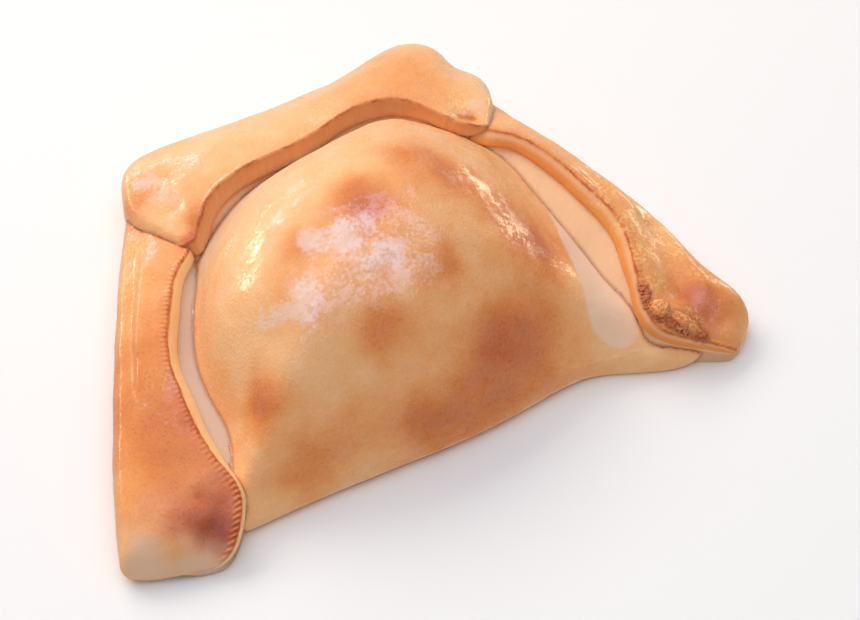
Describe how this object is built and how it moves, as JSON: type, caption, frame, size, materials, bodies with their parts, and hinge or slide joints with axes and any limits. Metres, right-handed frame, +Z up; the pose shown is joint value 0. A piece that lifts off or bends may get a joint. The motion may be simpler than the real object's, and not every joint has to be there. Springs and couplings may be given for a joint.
{
  "type": "baked turnover",
  "caption": "Baked dough turnover, domed over its filling, with its sealed rim folded over on three sides and crimped.",
  "frame": {"origin": "centre of the bounding box in plan, at the flat base", "axes": "+X along the long folded front edge, +Y from that edge to the short back flap, +Z up"},
  "size_m": [0.1617, 0.1215, 0.0437],
  "materials": {
    "crust": "satin egg-washed crust, golden with browned patches and pale unwashed folds"
  },
  "bodies": {
    "root": {"calzone": "crust"}
  },
  "joints": []
}
